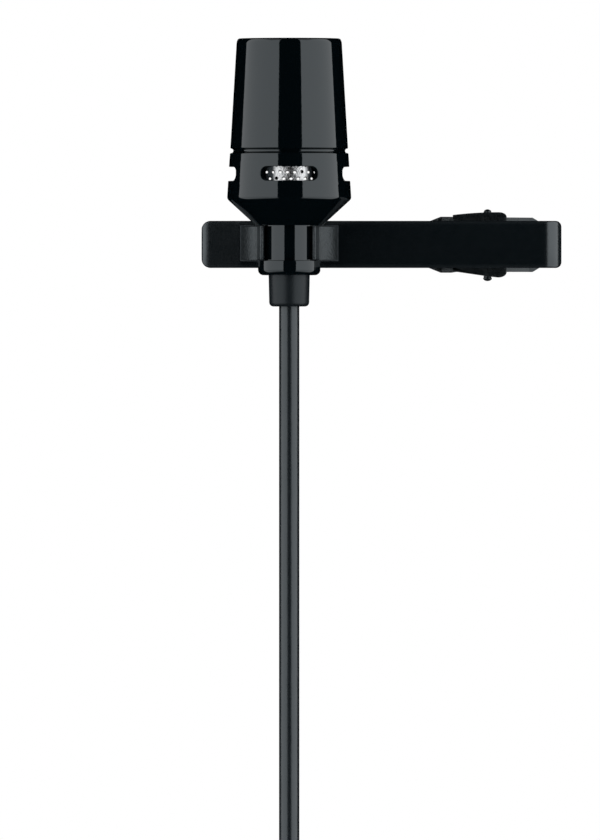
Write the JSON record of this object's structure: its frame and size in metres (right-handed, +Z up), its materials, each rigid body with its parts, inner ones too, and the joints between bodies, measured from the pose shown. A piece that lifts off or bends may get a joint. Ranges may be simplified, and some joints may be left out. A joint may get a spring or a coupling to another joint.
{
  "type": "lavalier microphone",
  "caption": "Gloss black lavalier microphone head with slotted mesh vents, held in a sprung tie clip, with its cable in a tied hank and a small latching plug.",
  "frame": {"origin": "middle of the clip bar's grip face, straight behind the microphone's axis", "axes": "+X along the clip's bar towards the hinge, +Y out of the grip face into the clipped cloth, +Z up along the microphone"},
  "size_m": [0.0395, 0.0289, 0.1755],
  "materials": {
    "head_lacquer": "deep gloss black lacquer",
    "grille_black": "satin black perforated sheet",
    "acoustic_cloth": "black woven cloth",
    "capsule_can": "drawn can",
    "gasket_rubber": "soft black rubber",
    "board_green": "solder mask",
    "lead_sleeve": "thin black insulated lead",
    "mesh_steel": "bright perforated steel",
    "ferrule_brass": "turned brass",
    "relief_rubber": "matte black rubber",
    "cable_jacket": "satin black jacket",
    "tie_strap": "black woven strap",
    "boot_rubber": "matte black rubber",
    "plug_metal": "satin black shell",
    "plug_sleeve": "satin nickel",
    "insert_plastic": "black moulding",
    "contact_gold": "gold plate",
    "clamp_metal": "plain steel",
    "latch_metal": "satin nickel",
    "spring_steel": "plain spring wire",
    "clip_black": "satin black coating",
    "holder_black": "grainy matte black coating",
    "rivet_metal": "plain steel",
    "bracket_black": "worn black oxide",
    "pin_black": "black oxide"
  },
  "bodies": {
    "clip": {"front_bar": "clip_black", "mic_holder": "holder_black", "holder_rivet": "rivet_metal", "hinge_bracket": "bracket_black", "hinge_pin": "pin_black", "clip_spring": "spring_steel"},
    "microphone": {"head_cap": "head_lacquer", "top_grille": "grille_black", "front_cloth": "acoustic_cloth", "capsule": "capsule_can", "capsule_gasket": "gasket_rubber", "circuit_board": "board_green", "capsule_leads": "lead_sleeve", "mesh_sleeve": "mesh_steel", "lower_housing": "head_lacquer", "cable_crimp": "ferrule_brass", "strain_relief": "relief_rubber", "cable_end": "cable_jacket", "cable_drop": "cable_jacket", "cable_hank": "cable_jacket", "cable_tail": "cable_jacket", "cable_tie": "tie_strap", "connector_boot": "boot_rubber", "connector_nut": "plug_metal", "connector_shell": "plug_metal", "connector_nose": "plug_sleeve", "connector_insert": "insert_plastic", "connector_contacts": "contact_gold", "cable_clamp": "clamp_metal", "latch_spring": "spring_steel"},
    "jaw": {"rear_jaw": "bracket_black"},
    "latch": {"latch_button": "latch_metal"}
  },
  "joints": [
    {"name": "mic_swivel", "type": "hinge", "parent": "clip", "child": "microphone", "pos_m": [0, -0.0062, 0], "axis": [0, 0, 1], "range_deg": [-180, 180]},
    {"name": "jaw_hinge", "type": "hinge", "parent": "clip", "child": "jaw", "pos_m": [0.0199, 0.0023, 0], "axis": [0, 0, -1], "range_deg": [0, 20], "stiffness_Nm_per_rad": 0.08, "springref_deg": -40.11, "deforming": ["clip_spring"]},
    {"name": "latch_push", "type": "slide", "parent": "microphone", "child": "latch", "axis": [0, -1, 0], "range_m": [0, 0.0006], "stiffness_N_per_m": 500, "springref_m": -0.001, "deforming": ["latch_spring"]}
  ]
}
